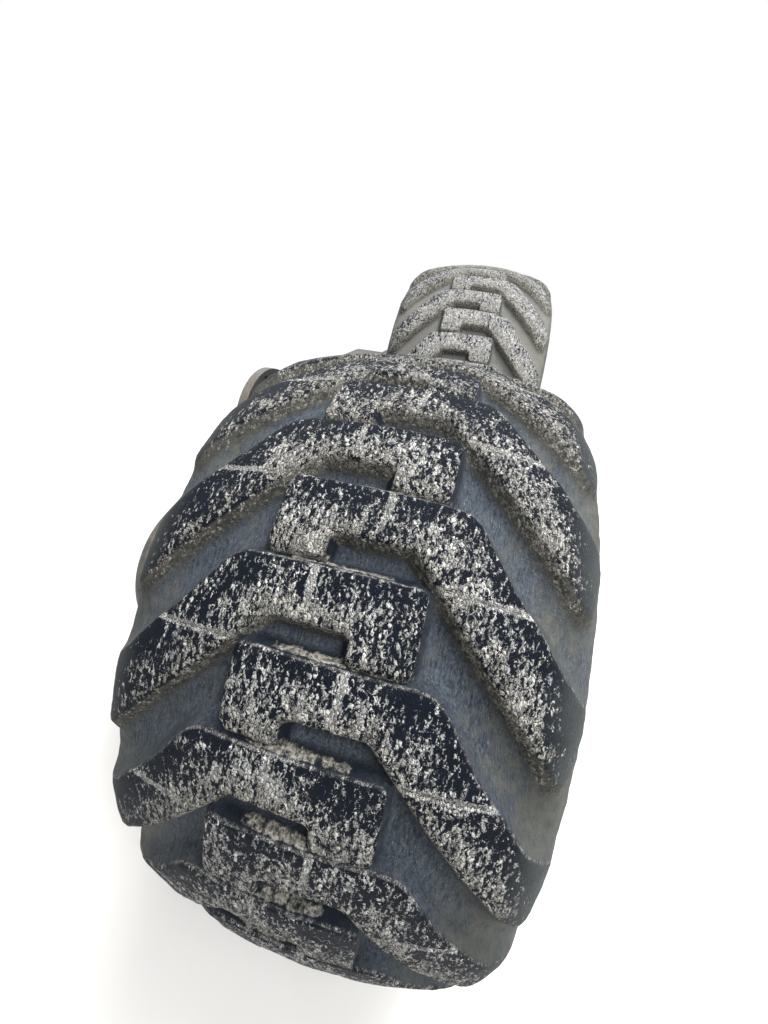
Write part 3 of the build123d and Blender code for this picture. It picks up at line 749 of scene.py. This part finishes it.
# Half a rim's section, outer face then inside: radius, distance from its middle, corner radius.
RIM_HALF = (
    (0.3745, 0.3180, 0.0060),
    (0.3745, 0.3050, 0.0050),
    (0.3365, 0.3050, 0.0070),
    (0.3230, 0.2530, 0.0120),
    (0.3000, 0.2050, 0.0180),
)
RIM_INSIDE = ((0.3235, 0.3180, 0.0050), (0.3100, 0.2530, 0.0120), (0.2870, 0.2050, 0.0180))
rim_section = []
for part, way in ((RIM_HALF, 1), (RIM_HALF[::-1], -1), (RIM_INSIDE, -1), (RIM_INSIDE[::-1], 1)):
    rim_section += [(r, TYRE_MIDDLE + way * out, c) for r, out, c in part]
rim_paint = paint("rim_coat", colour(160, 159, 152), colour(84, 66, 54), dust=0.75, chips=0.8)
for side in WHEELS:
    mesh = turned_mesh(f"rim_ring_{side}", AXLES[side], rim_section, 5, 160)
    add_piece(mesh, f"wheel_{side}", rim_paint, "rim_paint", f"rim_{side}", crisp=False)

# Wheel discs: dished steel plate, bored for the hub's pilot, and welded all round into the rim's
# well on both sides, and painted with the rim.

# A disc's section: radius, distance outboard, corner radius.
DISC_SECTION = (
    (0.1853, 0.6900, 0.0010),
    (0.2520, 0.6900, 0.0300),
    (0.2868, 0.7240, 0.0010),
    (0.2868, 0.7480, 0.0020),
    (0.2520, 0.7140, 0.0300),
    (0.1853, 0.7140, 0.0030),
)
WELD_RING, WELD_RADIUS = 0.2860, 0.0057
WELD_SEATS = (("outer", 0.7500), ("inner", 0.7220))


def rows_of(count, columns, first=0):
    """Numbers of the corners in rings that follow each other."""
    return [range(first + i * columns, first + (i + 1) * columns) for i in range(count)]


def weld_mesh(name, axle, radius, outboard):
    """A laid weld bead in an inside corner, with the ripples of its passes."""
    draw = random.Random(outboard)
    beads = 260
    turns = np.linspace(0, 2 * math.pi, 10, False)
    path = [(WELD_RADIUS * math.cos(t), WELD_RADIUS * math.sin(t)) for t in turns]
    corners = []
    for k in range(beads * 2):
        turn = math.pi * k / beads
        swell = 1 + (0.10 if k % 2 else -0.08) + draw.uniform(-0.05, 0.05)
        for r, out in path:
            near = radius + r * swell
            place = (near * math.sin(turn), -(outboard + out * swell), near * math.cos(turn))
            corners.append((axle[0] + place[0], place[1], axle[1] + place[2]))
    rows = rows_of(beads * 2, len(path))
    return mesh_of(name, corners, joined(rows + rows[:1]))


for side in WHEELS:
    mesh = turned_mesh(f"disc_plate_{side}", AXLES[side], DISC_SECTION, 5, 144)
    add_piece(mesh, f"wheel_{side}", rim_paint, "rim_paint", f"disc_{side}")
    for place, outboard in WELD_SEATS:
        mesh = weld_mesh(f"disc_weld_{place}_{side}", AXLES[side], WELD_RING, outboard)
        add_piece(mesh, f"wheel_{side}", rim_paint, "rim_paint", crisp=False)

# Hubs: cast drums that turn on the carriers' spindles, each with a machined flange for its wheel,
# and with an end cover over the planet gears, held by a ring of bolts.

# Sections of the drum and of the planet gears' cover: radius, distance outboard, corner radius.
HUB_SECTION = (
    (0.0, 0.5800, 0),
    (0.1181, 0.5800, 0.0005),
    (0.1181, 0.4600, 0.0030),
    (0.1920, 0.4600, 0.0080),
    (0.1920, 0.6200, 0.0140),
    (0.2060, 0.6420, 0.0160),
    (0.2450, 0.6620, 0.0050),
    (0.2450, 0.6900, 0.0020),
    (0.1850, 0.6900, 0.0010),
    (0.1850, 0.7360, 0.0020),
    (0.0, 0.7360, 0),
)
CAP_FLANGE = 0.7560
CAP_BOSS = 0.8260
CAP_SECTION = (
    (0.0, 0.7360, 0),
    (0.1720, 0.7360, 0.0010),
    (0.1720, CAP_FLANGE, 0.0040),
    (0.1500, 0.7600, 0.0060),
    (0.1270, 0.8100, 0.0080),
    (0.1180, 0.8200, 0.0060),
    (0.0880, 0.8200, 0.0030),
    (0.0840, CAP_BOSS, 0.0020),
    (0.0400, CAP_BOSS, 0.0040),
    (0.0360, 0.8215, 0.0020),
    (0.0, 0.8215, 0),
)


def bolt_shape(flats, height, washer, washer_thick, stud=0.0, stud_end=0.0, columns=24):
    """Corners and faces of one hexagon head or nut on its washer, standing along its own axis."""
    turns = np.arange(columns) * 2 * math.pi / columns
    hexagon = flats / 2 / np.cos((turns + math.pi / 6) % (math.pi / 3) - math.pi / 6)
    top = height + washer_thick
    pitch, thread_depth = 0.0015, 0.0009
    rings = [(washer, 0), (washer, washer_thick * 0.75), (washer - washer_thick * 0.3, washer_thick)]
    rings += [(hexagon, washer_thick), (hexagon, top - (hexagon - flats * 0.485) * 0.6), (flats * 0.485, top)]
    if stud:
        rings.append((stud + 0.0008, top))
        for k in range(int(stud_end / pitch)):
            rings.append((stud - (thread_depth if k % 2 else 0), top + k * pitch))
        rings.append((stud * 0.8, top + stud_end))
    else:
        rings += [(flats * 0.36, top), (flats * 0.33, top - height * 0.06)]
    corners = []
    for ring in rings:
        radii, stands = (np.broadcast_to(values, columns) for values in ring)
        corners += [(r * math.cos(t), r * math.sin(t), w) for r, t, w in zip(radii, turns, stands)]
    rows = rows_of(len(rings), columns)
    return np.array(corners), [rows[0][::-1], *joined(rows), rows[-1]]


def fasteners(name, shape, seats, seed):
    """Many of one fastener, each at its x, z and outboard seat, facing out (1) or in (-1)."""
    draw = random.Random(seed)
    corners, faces = [], []
    base, base_faces = shape
    for x, z, outboard, way in seats:
        turn = draw.uniform(0, math.pi / 3)
        c, s = math.cos(turn), math.sin(turn)
        first = len(corners)
        for u, v, w in base:
            corners.append((x + c * u - s * v, -(outboard + way * w), z + s * u + c * v))
        for face in base_faces:
            face = [first + v for v in face]
            faces.append(face if way > 0 else face[::-1])
    return mesh_of(name, corners, faces)


def bolt_ring(axle, radius, count, outboard, way, start=0.0):
    """Seats evenly round a circle, from the turn of the first one on."""
    turns = [start + 2 * math.pi * k / count for k in range(count)]
    return [(axle[0] + radius * math.sin(t), axle[1] + radius * math.cos(t), outboard, way) for t in turns]


def plated_steel(name, tone, dust):
    """Zinc-plated steel, dulled, with dust in its corners and a little rust."""
    nodes = Nodes(bpy.data.materials.new(name))
    spot, up = surface_places(nodes)
    broad = nodes.grain(spot, 24, 3, 0.6)
    fine = nodes.grain(spot, 300, 4, 0.65)
    metal = nodes.blend(fine, tuple(0.7 * c for c in tone[:3]) + (1,), tone)
    rust = nodes.times_plus(fine, 0.5, nodes.times(broad, 0.5))
    rust = nodes.ramp(rust, 0.53, 0.60, 0.0, 0.7)
    metal = nodes.blend(rust, metal, colour(104, 70, 48))
    film = nodes.times(nodes.ramp(fine, 0.35, 0.62), nodes.ramp(up, -0.4, 0.9, 0.35 * dust, dust))
    metal = nodes.blend(film, metal, colour(140, 131, 114))
    nodes.feed("Base Color", metal)
    covered = nodes.math("MAXIMUM", rust, film)
    bare = nodes.math("SUBTRACT", 1.0, covered, clamp=True)
    nodes.feed("Metallic", nodes.times(bare, 0.85))
    nodes.feed("Roughness", nodes.ramp(bare, 0.0, 1.0, 0.9, 0.38))
    nodes.relief(fine, 0.4, 0.0004)
    return nodes.owner


hub_paint = paint("hub_coat", colour(74, 75, 78), colour(112, 104, 94), dust=0.5, chips=0.45, casting=0.9)
plain_steel = plated_steel("zinc_plate", colour(176, 174, 168), 0.4)
# Fasteners by their width over flats, height, and their washer's radius and thickness.
CAP_BOLT = bolt_shape(0.017, 0.009, 0.0108, 0.0022)
CAP_PLUG = bolt_shape(0.024, 0.008, 0.0165, 0.0020)
for side in WHEELS:
    axle = AXLES[side]
    mesh = turned_mesh(f"hub_drum_{side}", axle, HUB_SECTION, 4, 144)
    add_piece(mesh, f"wheel_{side}", hub_paint, "hub_paint", f"hub_{side}")
    mesh = turned_mesh(f"planet_cover_{side}", axle, CAP_SECTION, 4, 120)
    add_piece(mesh, f"wheel_{side}", hub_paint, "hub_paint", f"hub_cap_{side}")
    seats = bolt_ring(axle, 0.1615, 16, CAP_FLANGE, 1)
    mesh = fasteners(f"planet_cover_bolts_{side}", CAP_BOLT, seats, 3)
    add_piece(mesh, f"wheel_{side}", plain_steel, "plain_steel")
    seats = bolt_ring(axle, 0.0620, 2, CAP_BOSS, 1, 0.5)
    mesh = fasteners(f"hub_oil_plugs_{side}", CAP_PLUG, seats, 4)
    add_piece(mesh, f"wheel_{side}", plain_steel, "plain_steel")

# Wheel nuts: twelve zinc-plated hexagon nuts a wheel, on washers, tightened on studs that are
# pressed into the hub's flange.


def inboard_face(name):
    """How far outboard a solid's inner face lies."""
    return round(-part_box(name)[1].y, 4)


NUT_ON_STUD = bolt_shape(0.036, 0.0220, 0.0225, 0.0040, stud=0.011, stud_end=0.009, columns=36)
for side in WHEELS:
    seats = bolt_ring(AXLES[side], 0.2125, 12, inboard_face(f"wheel_nuts_{side}"), 1)
    mesh = fasteners(f"nuts_and_studs_{side}", NUT_ON_STUD, seats, 5)
    add_piece(mesh, f"wheel_{side}", plain_steel, "plain_steel", f"wheel_nuts_{side}")

# Valves: turned metal stems whose feet are clamped in the rim's well, each closed by a knurled cap
# that screws on.


def standing_mesh(name, foot, path, columns, knurled):
    """Turn a section about a hanging axis that starts at a foot point, with grooves down its cap."""
    corners = []
    for radius, drop in path:
        for k in range(columns):
            turn = 2 * math.pi * k / columns
            near = radius * (0.94 if knurled[0] < drop < knurled[1] and k % 2 else 1)
            corners.append((foot.x + near * math.cos(turn), foot.y + near * math.sin(turn), foot.z + drop))
    rows = rows_of(len(path), columns)
    return mesh_of(name, corners, [*joined(rows), rows[0][::-1], rows[-1]], True)


# A stem's section from its foot down to its cap's end: radius, height over the foot.
VALVE_PATH = (
    (0.0080, 0.0000), (0.0080, -0.0040), (0.0074, -0.0120), (0.0052, -0.0170),
    (0.0045, -0.0175), (0.0045, -0.0390), (0.0062, -0.0392), (0.0066, -0.0400),
    (0.0066, -0.0560), (0.0060, -0.0600), (0.0040, -0.0618),
)
KNURLED = (-0.058, -0.0395)
for side in WHEELS:
    low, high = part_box(f"valve_{side}")
    foot = Vector(((low.x + high.x) / 2, (low.y + high.y) / 2, high.z - 0.0002))
    mesh = standing_mesh(f"valve_stem_{side}", foot, VALVE_PATH, 28, KNURLED)
    add_piece(mesh, f"wheel_{side}", plain_steel, "plain_steel", f"valve_{side}")

# Gear case: one iron casting that carries a train of gears out to each wheel. Its outline swells
# round the wheel ends and the pivot, its waist is drawn in, and a rim along its edge takes the cover.

# Side outline: radius of its two ends and of its middle, and the arch between its ends.
CASE_END_RADIUS = 0.226
CASE_MIDDLE_RADIUS = 0.262
ARCH_HALF_SPAN = 0.470
ARCH_RISE = 0.060


def arc(middle, radius, start, end, steps):
    """Points along an arc between two angles."""
    turns = np.linspace(start, end, steps)
    return [(middle[0] + radius * math.cos(t), middle[1] + radius * math.sin(t)) for t in turns]


def case_outline(spacing):
    """Side outline of the case in x and z as evenly spaced points, and its outward normals."""
    rear, front = AXLES["rear"], AXLES["front"]
    bottom = rear[1] - CASE_END_RADIUS
    reach, drop = front[0], -rear[1]
    narrowing = math.asin((CASE_MIDDLE_RADIUS - CASE_END_RADIUS) / math.hypot(reach, drop))
    tilt = math.pi / 2 - math.atan2(drop, reach) - narrowing
    span = (ARCH_HALF_SPAN**2 + ARCH_RISE**2) / (2 * ARCH_RISE)
    half = math.asin(ARCH_HALF_SPAN / span)
    path = arc((0, 0), CASE_MIDDLE_RADIUS, math.pi - tilt, tilt, 40)
    path += arc(front, CASE_END_RADIUS, tilt, -math.pi / 2, 60)
    path += arc((0, bottom + ARCH_RISE - span), span, math.pi / 2 - half, math.pi / 2 + half, 40)
    path += arc(rear, CASE_END_RADIUS, 1.5 * math.pi, math.pi - tilt, 60)
    points, tangent = evenly_spaced(np.array(path), spacing)
    return points, np.stack([-tangent[:, 1], tangent[:, 0]], -1)


def finish_node(name, finish):
    """Give one of the frame's own pieces its finish."""
    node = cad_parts[name]
    node.data.materials.clear()
    node.data.materials.append(finish)


axle_paint = paint("axle_coat", colour(48, 50, 54), colour(110, 92, 78), dust=0.42, chips=0.4, casting=1.3)
for name in "gear_case case_cover pivot_ring end_caps idler_caps pivot_cap hub_carriers axle_end".split():
    finish_node(name, axle_paint)
finish_node("breather", plain_steel)

# Case bolts: zinc-plated hexagon bolts on washers, screwed into the casting round the cover's rim
# and through each closure, and two drain plugs.

COVER_BOLT = bolt_shape(0.019, 0.010, 0.0120, 0.0025)
DRAIN_PLUG = bolt_shape(0.0270, 0.0110, 0.0155, 0.0024)
COVER_BOLT_COUNT, COVER_BOLT_INSET = 52, 0.0150
CARRIER_FLANGE = 0.026
PIVOT = (0, 0)
IDLER_REACHES = (0.3442, 0.5384)
PLUG_REACH = 0.1490


def outboard_face(name):
    """How far outboard a solid's outer face lies."""
    return round(-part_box(name)[0].y, 4)


outline, normals = case_outline(0.016)
stations = evenly_spaced(outline - normals * COVER_BOLT_INSET, count=COVER_BOLT_COUNT)[0]
cover_face = outboard_face("case_cover")
mesh = fasteners("cover_bolts", COVER_BOLT, [(x, z, cover_face, 1) for x, z in stations], 11)
add_piece(mesh, "bogie", plain_steel, "plain_steel")

seats = bolt_ring(PIVOT, 0.128, 8, outboard_face("pivot_cap"), 1, 0.2)
seats += bolt_ring(PIVOT, 0.181, 12, inboard_face("pivot_ring"), -1, 0.13)
for axle in AXLES.values():
    seats += bolt_ring(axle, 0.0980, 8, inboard_face("end_caps"), -1, 0.39)
    seats += bolt_ring(axle, 0.1870, 16, cover_face + CARRIER_FLANGE, 1)
    arm = math.hypot(*axle)
    for reach in IDLER_REACHES:
        idler = (axle[0] * reach / arm, axle[1] * reach / arm)
        seats += bolt_ring(idler, 0.0460, 6, inboard_face("idler_caps"), -1, 0.3)
mesh = fasteners("closure_bolts", CAP_BOLT, seats, 12)
add_piece(mesh, "bogie", plain_steel, "plain_steel")

seats = [(x, z - PLUG_REACH, inboard_face("gear_case"), -1) for x, z in AXLES.values()]
mesh = fasteners("drain_plugs", DRAIN_PLUG, seats, 13)
add_piece(mesh, "bogie", plain_steel, "plain_steel", "oil_plugs")

# Studio: a pale floor under the wheels that fades to white, one key lamp and three weaker ones,
# and the camera close behind and above the rear wheel.

FLOOR_RINGS = (4.0, 9.0, 60.0)
FLOOR_COLUMNS = 96


def seen(nodes):
    """One where a ray comes from the camera, a reflection or glass, and nought elsewhere."""
    rays = nodes.add("LightPath").outputs
    share = nodes.math("MAXIMUM", rays["Is Camera Ray"], rays["Is Glossy Ray"])
    return nodes.math("MAXIMUM", share, rays["Is Transmission Ray"])


turns = np.arange(FLOOR_COLUMNS) * 2 * math.pi / FLOOR_COLUMNS
corners = [(r * math.cos(t), r * math.sin(t), 0) for r in FLOOR_RINGS for t in turns]
rows = [[0] * FLOOR_COLUMNS, *rows_of(len(FLOOR_RINGS), FLOOR_COLUMNS, 1)]
mesh = mesh_of("floor", [(0, 0, 0), *corners], joined(rows[::-1]))
floor = new_object("floor", mesh)
floor.location = (0, -0.5, tyre_low.z)
nodes = Nodes(bpy.data.materials.new("studio_floor"))
spot = nodes.add("TexCoord").outputs["Object"]
mottle = nodes.grain(spot, 3, 4, 0.6)
nodes.feed("Base Color", nodes.blend(mottle, colour(226, 225, 222), colour(234, 233, 231)))
nodes.feed("Roughness", 0.8)
away = nodes.add("VectorMath", {0: spot}, operation="LENGTH").outputs["Value"]
share = nodes.times(nodes.ramp(away, 1.9, 4.6), seen(nodes))
glow = nodes.add("Emission", {0: (1, 1, 1, 1), 1: 1.0})
links = {0: share, 1: nodes.shader.outputs[0], 2: glow.outputs[0]}
output = next(n for n in nodes.tree.nodes if n.type == "OUTPUT_MATERIAL")
nodes.join(output.inputs[0], nodes.add("MixShader", links).outputs[0])
mesh.materials.append(nodes.owner)

# Lamps: name, place, width and power, all turned towards the bogie.
LAMPS = (
    ("key", (0.6, -1.9, 4.9), 2.2, 375),
    ("back", (-2.4, -2.8, 4.0), 2.4, 230),
    ("inboard", (3.2, 3.4, 2.6), 3.0, 95),
    ("side", (2.6, -4.2, 2.6), 3.0, 60),
)
LAMP_TARGET = Vector((0, -0.6, 0))
for name, place, size, power in LAMPS:
    lamp = bpy.data.lights.new(name, "AREA")
    lamp.size = size
    lamp.energy = power
    stand = new_object(name, lamp)
    stand.location = place
    stand.rotation_mode = "QUATERNION"
    stand.rotation_quaternion = (LAMP_TARGET - Vector(place)).to_track_quat("-Z", "Y")

bpy.context.scene.world = bpy.data.worlds.new("studio")
sky = Nodes(bpy.context.scene.world)
background = sky.tree.nodes["Background"]
sky.join(background.inputs[0], (1, 1, 1, 1))
sky.join(background.inputs[1], sky.times_plus(seen(sky), 0.6, 0.4))

# Camera: place, tilt and lens found from the outlines of both tyres in the photograph.
CAMERA_FROM_REAR_WHEEL = Vector((-0.7276, -0.1250, 0.9226))
CAMERA_DOWN = math.radians(37.62)
CAMERA_TURN = math.radians(12.80)
CAMERA_ROLL = math.radians(4.18)
CAMERA_LENS = 14.57
level = math.cos(CAMERA_DOWN)
forward = Vector((level * math.cos(CAMERA_TURN), level * math.sin(CAMERA_TURN), -math.sin(CAMERA_DOWN)))
right = Vector((math.sin(CAMERA_TURN), -math.cos(CAMERA_TURN), 0))
up = right.cross(forward)
lens = bpy.data.cameras.new("camera")
lens.sensor_width = 36
lens.lens = CAMERA_LENS
lens.clip_start = 0.02
camera = new_object("camera", lens)
camera.location = (tyre_low + tyre_high) / 2 + CAMERA_FROM_REAR_WHEEL
rolled_right = right * math.cos(CAMERA_ROLL) + up * math.sin(CAMERA_ROLL)
rolled_up = up * math.cos(CAMERA_ROLL) - right * math.sin(CAMERA_ROLL)
camera.rotation_mode = "QUATERNION"
axes = Matrix((rolled_right, rolled_up, -forward)).transposed()
camera.rotation_quaternion = axes.to_quaternion()
bpy.context.scene.camera = camera
bpy.context.scene.view_settings.view_transform = "Standard"
